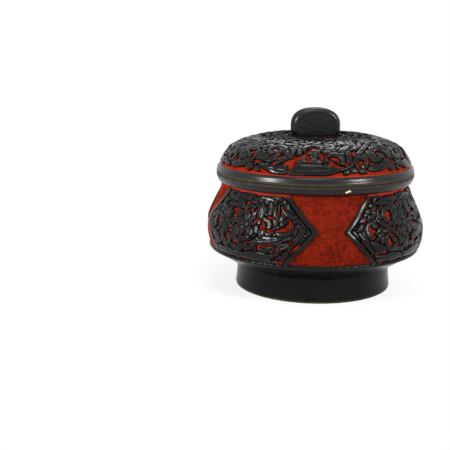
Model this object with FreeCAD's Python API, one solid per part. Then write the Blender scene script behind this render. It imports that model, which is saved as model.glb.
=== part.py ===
import FreeCAD, Part
import math
import os

# Carved lacquer box: a footed, waisted bowl and a domed lid that drops over a collar.
# Millimetres, +Z up. The origin is on the turning axis, on the surface that the foot stands on.
# The front is -Y: a plain field between two panels faces it, and so does the flat of the knob.

# Bowl, to its finished red surface
belly_r = 62.1
belly_rise = 21.0
belly_curve_r = 21.0
waist_depth = 8.3
waist_curve_r = 20.0
wall_slope_deg = 23.0
underside_slope_deg = 32.5
floor_drop = 0.6

# Layers of bowl and lid
ground_t = 1.6
shell_t = 1.0
relief_t = 1.5

# Foot
foot_h = 13.0
foot_inset = 18.2
hoop_t = 1.0
lip_w = 1.4
lip_h = 1.2
lip_chamfer = 0.35
foot_coat_top_t = 0.8
foot_coat_foot_t = 1.6

# Twisted border where the wall meets the underside
rope_angle_deg = -27.0
rope_lift = 0.3
rope_w = 2.8

# Rim rings of bowl and lid, and the collar that locates the lid
rim_w = 3.2
base_rim_h = 4.7
lid_rim_h = 4.6
seam_gap = 0.1
seam_chamfer = 0.35
base_brass_h = 1.3
lid_brass_h = 1.6
bead_t = 0.9
bead_bulge = 0.6
base_bead_foot_w = 1.4
lid_bead_top_w = 0.9
collar_t = 0.9
collar_up = 3.8
collar_down = 4.2
collar_lead = 0.4
lid_clearance = 0.35

# Dome of the lid, to its finished red surface
shoulder_in = 10.5
shoulder_rise = 11.5
crown_rise = 4.7
seat_margin = 0.65
dome_lean_deg = 28.0
shoulder_slope_deg = 22.8
rim_reach = 9.0
shoulder_reach = 6.0
crown_reach = 10.0
seat_reach = 8.0

# Hexagonal panels: their heights from waist and belly, and the width of the red field between two of them
panel_count = 4
panel_top_gap = 1.5
panel_tip_rise = 9.0
panel_foot_drop = 7.7
field_top_w = 41.0
field_tip_w = 17.7
field_foot_w = 47.0
panel_frame_w = 3.6
panel_groove_w = 1.0

# Scrolls of a panel, on the right of its middle line: place across as a share of half its width and
# up as a share of half its height, outer radius and width as shares of half its height, start and sweep in degrees
panel_scroll_shares = [
    (0.31, 0.34, 0.36, 0.17, 250, -280),
    (0.62, 0.04, 0.38, 0.17, 190, 280),
    (0.34, -0.40, 0.34, 0.17, 60, -270),
]
# Leaves of a panel: place of the foot across and up, length, width, then heading at the foot and bend in degrees
panel_leaf_shares = [
    (0.02, 0.84, 1.06, 0.24, 0, -12),
    (0.0, -0.86, 1.30, 0.26, 4, 6),
    (0.48, -0.58, 0.72, 0.26, 10, 30),
]
panel_flower_petals = 5
panel_petal_share = 0.46
panel_petal_w_share = 0.32
panel_flower_up_share = 0.0

# Carving of the dome, one repeat in plan: distance out as a share of the rim's radius, place round as a share of
# half the repeat's angle, sizes as shares of the rim's radius, then degrees as in the panels
carving_repeats = 4
carving_scroll_shares = [
    (0.865, 0.56, 0.100, 0.046, 215, -290),
    (0.810, -0.84, 0.100, 0.046, -20, 290),
    (0.770, -0.20, 0.112, 0.046, 215, -290),
    (0.590, -0.60, 0.100, 0.042, 200, -280),
    (0.570, 0.10, 0.100, 0.042, -20, 280),
    (0.620, 0.76, 0.095, 0.042, 200, -280),
]
carving_leaf_shares = [
    (0.962, -0.98, 0.375, 0.052, 0, 22),
    (0.958, -0.44, 0.550, 0.066, 0, 33),
    (0.962, 0.76, 0.170, 0.044, 0, 10),
    (0.850, -0.52, 0.240, 0.070, 50, 40),
    (0.840, 0.14, 0.240, 0.070, 20, 60),
    (0.700, 0.36, 0.240, 0.066, 110, -40),
]
carving_margin = 0.6
carving_border_gap = 3.7
carving_border_w = 1.8

# Knob, its plinth and its stud
knob_w = 27.7
knob_t = 12.0
knob_h = 14.8
knob_arch_h = 9.4
knob_chamfer = 1.8
plinth_margin = 1.5
plinth_t = 1.0
plinth_corner = 3.0
stud_r = 2.0
stud_head_r = 5.0
stud_head_t = 1.2
stud_depth = 8.0

# Straight turned bands that stand for each curve: seen surfaces, then hidden ones
seen_belly_bands = 4
seen_waist_bands = 2
seen_shoulder_bands = 3
seen_crown_bands = 2
hidden_belly_bands = 2
hidden_waist_bands = 1
hidden_shoulder_bands = 2
hidden_crown_bands = 1

# Straight sides that stand for the curves of the carving and the border
scroll_sides = 5
leaf_sides = 3
rope_sides = 6

# How scrolls and leaves are drawn: how far a scroll winds in, and the fullest place of a leaf
scroll_wind_share = 0.45
leaf_belly_share = 0.8

overrun = 5.0

FULL_TURN = 360
HALF_TURN = 180
X_AXIS = FreeCAD.Vector(1, 0, 0)
Z_AXIS = FreeCAD.Vector(0, 0, 1)
CENTRE = FreeCAD.Vector(0, 0, 0)

# Radii and heights that follow from the sizes
belly_z = foot_h + belly_rise
waist_r = belly_r - waist_depth
rim_r = waist_r + rim_w
hoop_r = belly_r - foot_inset
lip_r = hoop_r + lip_w


def heading(degrees):
    """Direction in the profile plane, as (radial, axial)."""
    angle = math.radians(degrees)
    return math.cos(angle), math.sin(angle)


def ahead(point, direction, distance):
    """The point that lies that far along a direction."""
    return point[0] + direction[0] * distance, point[1] + direction[1] * distance


def arc_points(centre, radius, start_deg, end_deg, bands):
    """Points along an arc, one more than the number of bands."""
    turn = (end_deg - start_deg) / bands
    return [ahead(centre, heading(start_deg + turn * i), radius) for i in range(bands + 1)]


def bezier_points(poles, bands):
    """Points along a Bezier curve, one more than the number of bands."""
    curve = Part.BezierCurve()
    curve.setPoles([FreeCAD.Vector(r, 0, z) for r, z in poles])
    places = [curve.value(i / bands) for i in range(bands + 1)]
    return [(p.x, p.z) for p in places]


def turned(profile):
    """Solid of revolution of a closed profile of (radius, height) points."""
    points = [FreeCAD.Vector(r, 0, z) for r, z in profile]
    face = Part.Face(Part.makePolygon(points + points[:1]))
    return face.revolve(CENTRE, Z_AXIS, FULL_TURN)


# Profiles of the bowl. The inset is measured square to the finished surface, inwards.

def underside_height(radius, inset):
    """Height of the slanted underside at a radius. Finished, it starts on top of the hoop."""
    along, up = heading(underside_slope_deg)
    start_r, start_z = hoop_r - inset * up, foot_h + inset * along
    return start_z + (radius - start_r) * up / along


def underside_radius(height, inset):
    """Radius of the slanted underside at a height."""
    along, up = heading(underside_slope_deg)
    start_r, start_z = hoop_r - inset * up, foot_h + inset * along
    return start_r + (height - start_z) * along / up


def belly_centre():
    return belly_r - belly_curve_r, belly_z


def wall_corner(inset):
    """Where the belly's arc meets the slanted underside."""
    centre_r, centre_z = belly_centre()
    radius = belly_curve_r - inset
    along, up = heading(underside_slope_deg)
    foot = centre_r, underside_height(centre_r, inset)
    drop = centre_z - foot[1]
    square_on = drop * along
    reach = drop * up + math.sqrt(radius**2 - square_on**2)
    return ahead(foot, (along, up), reach)


def waist_top_z():
    """Height at which the waist's arc is upright, set by the cone between the two arcs."""
    lean, rise = heading(wall_slope_deg)
    belly_end = ahead(belly_centre(), (lean, rise), belly_curve_r)
    waist_start_r = waist_r + waist_curve_r * (1 - lean)
    cone = (belly_end[0] - waist_start_r) / rise
    return belly_end[1] + cone * lean + waist_curve_r * rise


def wall_profile(inset, belly_bands, waist_bands):
    """Wall of the bowl from its lower corner to the waist."""
    centre = belly_centre()
    corner = wall_corner(inset)
    start_deg = math.degrees(math.atan2(corner[1] - centre[1], corner[0] - centre[0]))
    belly = arc_points(centre, belly_curve_r - inset, start_deg, wall_slope_deg, belly_bands)
    waist_centre = waist_r + waist_curve_r, waist_top_z()
    waist = arc_points(waist_centre, waist_curve_r + inset, HALF_TURN + wall_slope_deg, HALF_TURN, waist_bands)
    return belly + waist


def bowl_profile(inset, bottom_z):
    """Hidden surface of the bowl from the axis to the waist."""
    floor = [(0, bottom_z), (underside_radius(bottom_z, inset), bottom_z)]
    return floor + wall_profile(inset, hidden_belly_bands, hidden_waist_bands)


# Profiles of the dome

def collar_r():
    """Outside of the locating collar, which fits the neck of the bowl."""
    return waist_r - ground_t - shell_t


def dome_rim_r():
    """Radius of the red surface where it meets the rim ring, built out from the collar."""
    upright = heading(dome_lean_deg)[0]
    return collar_r() + lid_clearance + (shell_t + ground_t) / upright


def lid_neck_r():
    """Outside of the lid's spun neck, which carries its rim ring."""
    return dome_rim_r() - ground_t / heading(dome_lean_deg)[0]


def seat_r():
    """Flat seat on top of the dome, a little wider than the plinth is long."""
    return knob_w / 2 + plinth_margin + seat_margin


def carving_border_r():
    """Outside of the border round the plinth."""
    return seat_r() + carving_border_gap + carving_border_w


def dome_profile(inset, shoulder_bands, crown_bands):
    """Dome from its rim to the axis, with a flat seat for the plinth."""
    upright, lean = heading(dome_lean_deg)
    along, fall = heading(shoulder_slope_deg)
    rim = dome_rim_r() - inset / upright, lid_rim_top_z
    shoulder = dome_rim_r() - shoulder_in - inset * fall, shoulder_z - inset * along
    seat = seat_r(), dome_top_z - inset
    side = bezier_points([rim, ahead(rim, (-lean, upright), rim_reach),
                          ahead(shoulder, (along, -fall), shoulder_reach), shoulder], shoulder_bands)
    crown = bezier_points([shoulder, ahead(shoulder, (-along, fall), crown_reach),
                           ahead(seat, (1, 0), seat_reach), seat], crown_bands)
    return side + crown[1:] + [(stud_r, dome_top_z - inset)]


# Heights of the rims, the dome and the panels, each from what carries it
seam_z = waist_top_z() + base_rim_h
lid_foot_z = seam_z + seam_gap
lid_rim_top_z = lid_foot_z + lid_rim_h
shoulder_z = lid_rim_top_z + shoulder_rise
dome_top_z = shoulder_z + crown_rise
knob_foot_z = dome_top_z + plinth_t
knob_top_z = knob_foot_z + knob_h
panel_top_z = waist_top_z() - panel_top_gap
panel_tip_z = belly_z + panel_tip_rise
panel_foot_z = belly_z - panel_foot_drop


# Carving, drawn flat with x across and y up

def flat(points):
    """Face of a closed polygon."""
    corners = [FreeCAD.Vector(x, y, 0) for x, y in points]
    return Part.Face(Part.makePolygon(corners + corners[:1]))


def scroll(centre, radius, width, start_deg, sweep_deg):
    """Band that winds inwards round a centre."""
    turn = sweep_deg / scroll_sides
    spokes = [heading(start_deg + turn * i) for i in range(scroll_sides + 1)]
    reaches = [radius * (1 - scroll_wind_share * i / scroll_sides) for i in range(scroll_sides + 1)]
    outer = [ahead(centre, spoke, reach) for spoke, reach in zip(spokes, reaches)]
    inner = [ahead(centre, spoke, reach - width) for spoke, reach in zip(spokes, reaches)]
    return flat(outer + inner[::-1])


def leaf(foot, length, width, start_deg, bend_deg=0):
    """Pointed leaf along a bending spine: its half width is a half sine wave, drawn towards the foot."""
    spine, left, right = [foot], [], []
    for i in range(1, leaf_sides + 1):
        along_deg = start_deg + bend_deg * i / leaf_sides
        spine.append(ahead(spine[-1], heading(along_deg), length / leaf_sides))
        half = width / 2 * math.sin(math.pi * (i / leaf_sides)**leaf_belly_share)
        across = heading(along_deg + HALF_TURN / 2)
        left.append(ahead(spine[-1], across, half))
        right.append(ahead(spine[-1], across, -half))
    return flat([foot] + left[:-1] + [spine[-1]] + right[:-1][::-1])


def raised(faces, height):
    """Upright bars over faces that may overlap, joined where they meet."""
    first, *rest = [face.extrude(Z_AXIS * height) for face in faces]
    return first.multiFuse(rest).removeSplitter()


def both_sides(faces):
    """A drawing and its mirror image across the middle line."""
    return faces + [face.mirror(CENTRE, X_AXIS) for face in faces]


def panel_half_w(field_w, radius):
    """Half the width of a panel, square on, that leaves a field of that width to the next one."""
    half_field = math.asin(field_w / 2 / radius)
    return radius * math.sin(math.pi / panel_count - half_field)


def panel_face(margin):
    """Hexagon with its points at the sides, its slanted sides drawn in by a margin, measured across."""
    belly, waist = belly_r + relief_t, waist_r + relief_t
    right = [(panel_half_w(field_top_w, waist) - margin, panel_top_z),
             (panel_half_w(field_tip_w, belly) - margin, panel_tip_z),
             (panel_half_w(field_foot_w, belly) - margin, panel_foot_z)]
    return flat(right + [(-x, z) for x, z in right[::-1]])


def panel_bars():
    """Frames of the slanted sides, and between them a flower among scrolls and leaves, as bars past the wall."""
    height = belly_r + relief_t + overrun
    half_w, half_h = panel_half_w(field_tip_w, belly_r + relief_t), (panel_top_z - panel_foot_z) / 2
    middle_z = (panel_top_z + panel_foot_z) / 2
    side = []
    for across, up, radius, width, start_deg, sweep_deg in panel_scroll_shares:
        centre = half_w * across, middle_z + half_h * up
        side.append(scroll(centre, half_h * radius, half_h * width, start_deg, sweep_deg))
    for across, up, length, width, start_deg, bend_deg in panel_leaf_shares:
        foot = half_w * across, middle_z + half_h * up
        side.append(leaf(foot, half_h * length, half_h * width, start_deg, bend_deg))
    flower_centre = 0, middle_z + half_h * panel_flower_up_share
    turn = FULL_TURN / panel_flower_petals
    flower = [leaf(flower_centre, half_h * panel_petal_share, half_h * panel_petal_w_share, turn * (i + 1 / 2))
              for i in range(panel_flower_petals)]
    frames = panel_face(0).cut(panel_face(panel_frame_w)).extrude(Z_AXIS * height)
    field = panel_face(panel_frame_w + panel_groove_w).extrude(Z_AXIS * height)
    return [frames, raised(both_sides(side) + flower, height).common(field)]


def carving_drawing():
    """Scrolls and leaves of one repeat of the dome, seen from above, its middle line towards the front."""
    rim, half_deg = dome_rim_r(), HALF_TURN / carving_repeats
    drawing = []
    for out, place, radius, width, start_deg, sweep_deg in carving_scroll_shares:
        face = scroll((0, -rim * out), rim * radius, rim * width, start_deg, sweep_deg)
        drawing.append(face.rotated(CENTRE, Z_AXIS, half_deg * place))
    for out, place, length, width, start_deg, bend_deg in carving_leaf_shares:
        face = leaf((0, -rim * out), rim * length, rim * width, start_deg, bend_deg)
        drawing.append(face.rotated(CENTRE, Z_AXIS, half_deg * place))
    return drawing


# Pieces of the bowl

def base_shell():
    """Spun bowl with a straight neck up to the seam."""
    floor_z = foot_h - floor_drop
    outer = bowl_profile(ground_t, floor_z)
    inner = bowl_profile(ground_t + shell_t, floor_z + shell_t)
    neck_out, neck_in = outer[-1][0], inner[-1][0]
    return turned(outer + [(neck_out, seam_z), (neck_in, seam_z)] + inner[::-1])


def base_ground():
    """Red lacquer on the wall, from the foot hoop to the rim ring."""
    outer = wall_profile(0, seen_belly_bands, seen_waist_bands)
    inner = wall_profile(ground_t, hidden_belly_bands, hidden_waist_bands)
    return turned(outer + inner[::-1])


def foot_ring():
    """Hoop soldered to the underside of the bowl, with a rolled lip to stand on."""
    inner_r = hoop_r - hoop_t
    return turned([(inner_r, 0), (lip_r - lip_chamfer, 0), (lip_r, lip_chamfer), (lip_r, lip_h),
                   (hoop_r, lip_h), (hoop_r, underside_height(hoop_r, ground_t)),
                   (inner_r, underside_height(inner_r, ground_t))])


def foot_coat():
    """Black lacquer on the outside of the hoop and up the slanted underside."""
    corner, inner_corner = wall_corner(0), wall_corner(ground_t)
    top_r = hoop_r + foot_coat_top_t
    return turned([(hoop_r, lip_h), (hoop_r + foot_coat_foot_t, lip_h), (top_r, underside_height(top_r, 0)),
                   corner, inner_corner, (hoop_r, underside_height(hoop_r, ground_t))])


def rope_border():
    """Raised moulding over the corner between wall and underside."""
    centre = ahead(belly_centre(), heading(rope_angle_deg), belly_curve_r + rope_lift)
    section = arc_points(centre, rope_w / 2, rope_angle_deg, rope_angle_deg + FULL_TURN, rope_sides)[:-1]
    return turned(section).cut(turned(filled_bowl()))


def filled_bowl():
    """Closed profile of the whole finished bowl, for cutting what lies on it."""
    wall = wall_profile(0, seen_belly_bands, seen_waist_bands)
    return [(0, foot_h), (hoop_r, foot_h)] + wall + [(0, wall[-1][1])]


def base_rim_ring():
    """Brass ring soldered round the neck of the bowl, bare only in the band under the seam."""
    foot_z, brass_z = waist_top_z(), seam_z - base_brass_h
    neck = waist_r - ground_t
    return turned([(neck, foot_z), (waist_r, foot_z), (rim_r - bead_t, brass_z), (rim_r, brass_z),
                   (rim_r, seam_z - seam_chamfer), (rim_r - seam_chamfer, seam_z), (neck, seam_z)])


def base_rim_bead():
    """Black lacquer bead under the bare band."""
    foot_z, brass_z = waist_top_z(), seam_z - base_brass_h
    foot_r = waist_r + base_bead_foot_w
    middle = (foot_r + rim_r) / 2 + bead_bulge, (foot_z + brass_z) / 2
    return turned([(waist_r, foot_z), (foot_r, foot_z), middle, (rim_r, brass_z), (rim_r - bead_t, brass_z)])


def locating_collar():
    """Collar inside the neck, with a leading edge for the lid."""
    outer, inner = collar_r(), collar_r() - collar_t
    foot_z, top_z = seam_z - collar_down, seam_z + collar_up
    return turned([(inner, foot_z), (outer, foot_z), (outer, top_z - collar_lead), (outer - collar_lead, top_z),
                   (inner, top_z)])


def panel(turn_deg):
    """Raised black panel, its drawing cut through the relief layer square to its middle."""
    slab = turned(wall_profile(-relief_t, seen_belly_bands, seen_waist_bands)
                  + wall_profile(0, seen_belly_bands, seen_waist_bands)[::-1])
    solids = []
    for bars in panel_bars():
        solids += bars.rotated(CENTRE, X_AXIS, HALF_TURN / 2).common(slab).Solids
    return Part.makeCompound(solids).rotated(CENTRE, Z_AXIS, turn_deg)


# Pieces of the lid

def lid_shell():
    """Spun dome with a straight neck that goes over the collar."""
    outer = dome_profile(ground_t, hidden_shoulder_bands, hidden_crown_bands)
    inner = dome_profile(ground_t + shell_t, hidden_shoulder_bands, hidden_crown_bands)
    return turned([(inner[0][0], lid_foot_z), (outer[0][0], lid_foot_z)] + outer + inner[::-1])


def lid_ground():
    """Red lacquer of the dome."""
    outer = dome_profile(0, seen_shoulder_bands, seen_crown_bands)
    inner = dome_profile(ground_t, hidden_shoulder_bands, hidden_crown_bands)
    return turned(outer + inner[::-1])


def lid_rim_ring():
    """Brass ring soldered round the neck of the lid, bare only in the band above the seam."""
    brass_z, neck = lid_foot_z + lid_brass_h, lid_neck_r()
    return turned([(neck, lid_foot_z), (rim_r - seam_chamfer, lid_foot_z), (rim_r, lid_foot_z + seam_chamfer),
                   (rim_r, brass_z), (rim_r - bead_t, brass_z), (dome_rim_r(), lid_rim_top_z),
                   (neck, lid_rim_top_z)])


def lid_rim_bead():
    """Black lacquer bead above the bare band."""
    brass_z = lid_foot_z + lid_brass_h
    top_r = dome_rim_r() + lid_bead_top_w
    middle = (top_r + rim_r) / 2 + bead_bulge, (lid_rim_top_z + brass_z) / 2
    return turned([(rim_r - bead_t, brass_z), (rim_r, brass_z), middle, (top_r, lid_rim_top_z),
                   (dome_rim_r(), lid_rim_top_z)])


def knob_plinth():
    """Low plate on the flat seat of the dome, with round corners and a hole for the stud."""
    long, deep = knob_w + 2 * plinth_margin, knob_t + 2 * plinth_margin
    plate = Part.makeBox(long, deep, plinth_t, FreeCAD.Vector(-long / 2, -deep / 2, dome_top_z))
    upright = [e for e in plate.Edges if e.BoundBox.ZLength > plinth_t / 2]
    plate = plate.makeFillet(plinth_corner, upright)
    return plate.cut(Part.makeCylinder(stud_r, plinth_t, FreeCAD.Vector(0, 0, dome_top_z)))


def knob():
    """Upright tab with an arched top, its edges eased, bored from below for the stud."""
    spring_z = knob_top_z - knob_arch_h
    half, front = knob_w / 2, -knob_t / 2
    corners = [FreeCAD.Vector(x, front, z) for x, z in
               ((half, spring_z), (half, knob_foot_z), (-half, knob_foot_z), (-half, spring_z))]
    sides = [Part.LineSegment(a, b).toShape() for a, b in zip(corners, corners[1:])]
    top = Part.Ellipse(FreeCAD.Vector(half, front, spring_z), FreeCAD.Vector(0, front, knob_top_z),
                       FreeCAD.Vector(0, front, spring_z))
    arch = Part.ArcOfEllipse(top, 0, math.pi).toShape()
    tab = Part.Face(Part.Wire(Part.__sortEdges__(sides + [arch]))).extrude(FreeCAD.Vector(0, knob_t, 0))
    rims = [e for e in tab.Edges
            if e.BoundBox.YLength < knob_t / 2 and e.BoundBox.ZMax > spring_z - knob_arch_h / 2]
    tab = tab.makeChamfer(knob_chamfer, rims)
    return tab.cut(Part.makeCylinder(stud_r, stud_depth, FreeCAD.Vector(0, 0, knob_foot_z)))


def lid_carving():
    """Raised black scrolls and leaves, one repeat after another round the dome, and a border round the plinth."""
    slab = turned(dome_profile(-relief_t, seen_shoulder_bands, seen_crown_bands)
                  + dome_profile(0, seen_shoulder_bands, seen_crown_bands)[::-1])
    foot = FreeCAD.Vector(0, 0, lid_rim_top_z)
    height = knob_top_z - lid_rim_top_z
    border_r = carving_border_r()
    outside, inside = [Part.makeCylinder(r, height, foot) for r in (dome_rim_r() - carving_margin,
                                                                    border_r + carving_margin)]
    repeat = raised(carving_drawing(), height).translated(foot).common(outside.cut(inside)).common(slab)
    solids = []
    for i in range(carving_repeats):
        solids += repeat.rotated(CENTRE, Z_AXIS, FULL_TURN / carving_repeats * i).Solids
    border = Part.makeCylinder(border_r, height, foot).cut(
        Part.makeCylinder(border_r - carving_border_w, height, foot))
    return Part.makeCompound(solids + border.common(slab).Solids)


def knob_stud():
    """Stud with a flat head inside the dome, up through the plinth into the knob."""
    inside_z = dome_top_z - ground_t - shell_t
    top_z = knob_foot_z + stud_depth
    return turned([(0, inside_z - stud_head_t), (stud_head_r, inside_z - stud_head_t),
                   (stud_head_r, inside_z), (stud_r, inside_z), (stud_r, top_z), (0, top_z)])


makers = [base_shell, base_ground, foot_ring, foot_coat, rope_border, base_rim_ring, base_rim_bead,
          locating_collar, lid_shell, lid_ground, lid_rim_ring, lid_rim_bead, lid_carving, knob_plinth,
          knob, knob_stud]
panel_names = ["panel_front_right", "panel_back_right", "panel_back_left", "panel_front_left"]

os.makedirs("parts", exist_ok=True)
for make in makers:
    make().exportStep(f"parts/{make.__name__}.step")
for i, name in enumerate(panel_names):
    panel(FULL_TURN / panel_count * (i + 1 / 2)).exportStep(f"parts/{name}.step")
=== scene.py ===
"""Carved lacquer box on a plain floor.

Red turned walls, black relief carved over them and brass lines at the rims. Lengths are metres, +Z is up and
the front is -Y. An azimuth is 0 at the front and grows towards +X.
"""

import math

import bmesh
import bpy
import numpy as np
from bpy.props import FloatProperty, FloatVectorProperty, IntProperty, PointerProperty
from mathutils import Euler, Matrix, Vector


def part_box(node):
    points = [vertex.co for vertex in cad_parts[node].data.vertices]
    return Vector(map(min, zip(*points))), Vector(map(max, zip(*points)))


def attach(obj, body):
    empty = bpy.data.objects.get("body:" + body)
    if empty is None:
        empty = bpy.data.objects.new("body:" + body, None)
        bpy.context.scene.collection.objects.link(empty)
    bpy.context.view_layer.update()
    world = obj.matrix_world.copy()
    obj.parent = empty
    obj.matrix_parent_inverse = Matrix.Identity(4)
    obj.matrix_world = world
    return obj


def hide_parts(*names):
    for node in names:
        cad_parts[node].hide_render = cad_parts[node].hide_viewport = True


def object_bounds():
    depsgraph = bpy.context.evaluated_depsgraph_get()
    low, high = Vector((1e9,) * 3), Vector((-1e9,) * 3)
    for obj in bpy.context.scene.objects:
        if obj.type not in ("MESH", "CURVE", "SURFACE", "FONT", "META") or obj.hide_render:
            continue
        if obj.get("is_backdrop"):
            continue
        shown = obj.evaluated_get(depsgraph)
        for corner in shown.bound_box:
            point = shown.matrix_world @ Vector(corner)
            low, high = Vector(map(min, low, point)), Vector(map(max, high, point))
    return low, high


bl_info = {
    "name": "Carved lacquer box",
    "version": (1, 0, 0),
    "blender": (4, 5, 0),
    "location": "3D View > Sidebar > Lacquer box",
    "description": "Builds the carved surfaces, the finishes and the stage of a round lacquer box",
    "category": "Object",
}

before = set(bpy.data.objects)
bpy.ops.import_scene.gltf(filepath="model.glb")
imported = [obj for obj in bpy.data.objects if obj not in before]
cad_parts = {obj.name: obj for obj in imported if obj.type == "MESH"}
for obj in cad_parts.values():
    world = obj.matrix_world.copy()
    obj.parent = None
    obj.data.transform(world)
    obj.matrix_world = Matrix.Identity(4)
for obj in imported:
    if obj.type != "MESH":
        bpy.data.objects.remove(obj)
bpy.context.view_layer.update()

MM = 0.001


def length(name, description, default):
    return FloatProperty(name=name, description=description, default=default, unit="LENGTH")


def angle(name, description, degrees):
    return FloatProperty(name=name, description=description, default=math.radians(degrees), subtype="ANGLE")


def number(name, description, default):
    return IntProperty(name=name, description=description, default=default)


def colour(name, description, *rgb):
    return FloatVectorProperty(name=name, description=description, default=(*rgb, 1), size=4, min=0, max=1,
                               subtype="COLOR")


class BowlSizes(bpy.types.PropertyGroup):
    """The turned bowl and its foot, to the finished red surface"""

    belly_r: length("Belly radius", "Largest radius of the red wall", 0.0621)
    belly_z: length("Belly height", "Height of the largest radius", 0.034)
    belly_curve_r: length("Belly curve", "Radius of the belly's arc", 0.021)
    waist_r: length("Waist radius", "Smallest radius under the rim", 0.0538)
    waist_curve_r: length("Waist curve", "Radius of the waist's hollow arc", 0.020)
    wall_slope: angle("Wall slope", "Lean of the cone between the two arcs", 23)
    underside_r: length("Underside radius", "Where the slanted underside starts", 0.045)
    underside_z: length("Underside height", "Height of that start", 0.0137)
    underside_slope: angle("Underside slope", "Rise of the slanted underside", 32.5)
    ground_t: length("Red layer", "Thickness of the red lacquer", 0.0016)
    shell_t: length("Brass wall", "Thickness of the brass core", 0.001)
    lip_ease: length("Edge ease", "Rounding of the brass edges", 0.00025)
    foot_waist: length("Foot hollow", "How far the foot's side draws in halfway up", 0.00025)


class DomeSizes(bpy.types.PropertyGroup):
    """The lid's dome, to its finished red surface"""

    top_z: length("Seat height", "Height of the flat seat under the knob's plinth", 0.0875)
    seat_r: length("Seat radius", "Radius of that seat", 0.016)
    shoulder_r: length("Shoulder radius", "Where side and crown meet", 0.044)
    shoulder_z: length("Shoulder height", "Height of the shoulder", 0.0828)
    lean: angle("Side lean", "Lean of the side at the rim", 28)
    slope: angle("Shoulder slope", "Slope of the crown at the shoulder", 22.8)
    rim_reach: length("Rim reach", "Pull of the side's curve at the rim", 0.009)
    shoulder_reach: length("Shoulder reach", "Pull of the side's curve at the shoulder", 0.006)
    crown_reach: length("Crown reach", "Pull of the crown's curve at the shoulder", 0.010)
    seat_reach: length("Seat reach", "Pull of the crown's curve at the seat", 0.008)


class CarvingSizes(bpy.types.PropertyGroup):
    """The black relief and the red diaper"""

    relief: length("Relief", "Height of the black relief over the red wall", 0.00142)
    step: length("Grid step", "Distance between the points of a carved surface", 0.000215)
    edge: length("Cut edge", "Width of the wall of a cut", 0.00034)
    gap: length("Cut gap", "Width of the cut round a shape that lies over another", 0.0003)
    heed: length("Heed", "How far from a shape its distance is still worked out", 0.0024)
    fill_lap: length("Fill lap", "How far a filling leaf reaches over what is round it", 0.0002)
    panel_fill: length("Least fill on the panels", "Half width of the smallest filling leaf there", 0.00095)
    dome_fill: length("Least fill on the dome", "Half width of the smallest filling leaf there", 0.0013)
    fill_most: length("Widest fill", "Half width of the widest filling leaf", 0.0015)
    foot_lap: length("Panel foot lap", "How far a panel goes on towards the twisted border", 0.0005)
    dome_foot: length("Dome foot", "Bare red above the rim bead", 0.0007)
    dome_leaf_foot: length("Dome leaf foot", "Height over the rim that the filling leaves keep", 0.0017)
    # Painted shade: black painted over the floor of a cut near its wall, where shade falls
    painted_shade_reach: length("Dark reach", "How far black goes over the floor of a cut from its wall", 0.00017)
    frame_w: length("Frame width", "Width of a panel's plain frame, measured across", 0.0036)
    groove_w: length("Frame groove", "Red groove inside the frame, measured across", 0.0005)
    sink: length("Sunk edge", "How far a carved surface's border goes under the red wall", 0.0003)
    panel_top_w: length("Panel top", "Width of a panel's top, square on", 0.04364)
    panel_tip_w: length("Panel tips", "Width of a panel across its tips, square on", 0.07656)
    panel_foot_w: length("Panel foot", "Width of a panel's foot, square on", 0.05032)
    panel_tip_z: length("Tip height", "Height of a panel's tips", 0.043)
    diaper_pitch: length("Diaper pitch", "Distance between the diamonds of the red field", 0.00125)
    diaper_h: length("Diaper height", "Height of those diamonds", 0.00024)
    border_r: length("Crown border", "Outside radius of the border round the plinth", 0.0215)
    border_w: length("Crown border width", "Width of that border", 0.0042)
    dome_repeats: number("Dome repeats", "Repeats of the carving round the dome", 4)
    rope_lay: number("Rope strands", "Strands seen round the twisted border", 88)


class Finishes(bpy.types.PropertyGroup):
    """Colours of the lacquers and the brass"""

    red: colour("Red lacquer", "Bare red lacquer", 0.3, 0.018, 0.004)
    # Deep red: darker clouds of the red lacquer, and painted shade in the cuts of the carving
    deep_red_and_shade: colour("Deep red", "Red lacquer in the cuts", 0.05, 0.003, 0.001)
    red_bright: colour("Bright red", "Red lacquer on top of the diamonds", 0.4, 0.022, 0.002)
    # Dark red between the diamonds: dirt and painted shade in the grooves
    groove_dirt_and_shade: colour("Groove red", "Red lacquer between the diamonds", 0.028, 0.002, 0.001)
    black: colour("Black lacquer", "Black lacquer", 0.0026, 0.0027, 0.0029)
    smoky: colour("Smoky lacquer", "Black lacquer where it is thin", 0.007, 0.006, 0.0052)
    worn: colour("Worn lacquer", "Black lacquer where an edge is rubbed", 0.075, 0.062, 0.047)
    brass: colour("Aged brass", "Brown brass of the rims", 0.038, 0.029, 0.019)
    brass_bare: colour("Rubbed brass", "Brass where hands rub it", 0.105, 0.08, 0.051)
    chip: colour("Chip", "Pale ground where the lacquer has chipped", 0.78, 0.58, 0.33)
    floor: colour("Floor", "Pale floor", 0.97, 0.97, 0.97)


# Turned outlines

CURVE_POINTS = 60
SAME = MM / 1000  # points nearer than this are one point


def arc(centre, radius, start, end):
    """Points (radius, height) along an arc between two angles."""
    angles = np.linspace(start, end, CURVE_POINTS)
    return np.stack([centre[0] + radius * np.cos(angles), centre[1] + radius * np.sin(angles)], axis=1)


def bezier(poles, count):
    """Points along a cubic Bezier curve: the sum of its poles, each times its Bernstein weight."""
    s = np.linspace(0, 1, count)[:, None]
    weights = [(1 - s) ** 3, 3 * s * (1 - s) ** 2, 3 * s * s * (1 - s), s**3]
    return sum(weight * np.asarray(pole) for weight, pole in zip(weights, poles))


def joined(*runs):
    """One outline from runs of points, without the points that repeat."""
    points = np.concatenate([np.atleast_2d(run) for run in runs])
    apart = np.hypot(*np.diff(points, axis=0).T) > SAME
    return points[np.concatenate([[True], apart])]


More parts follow.
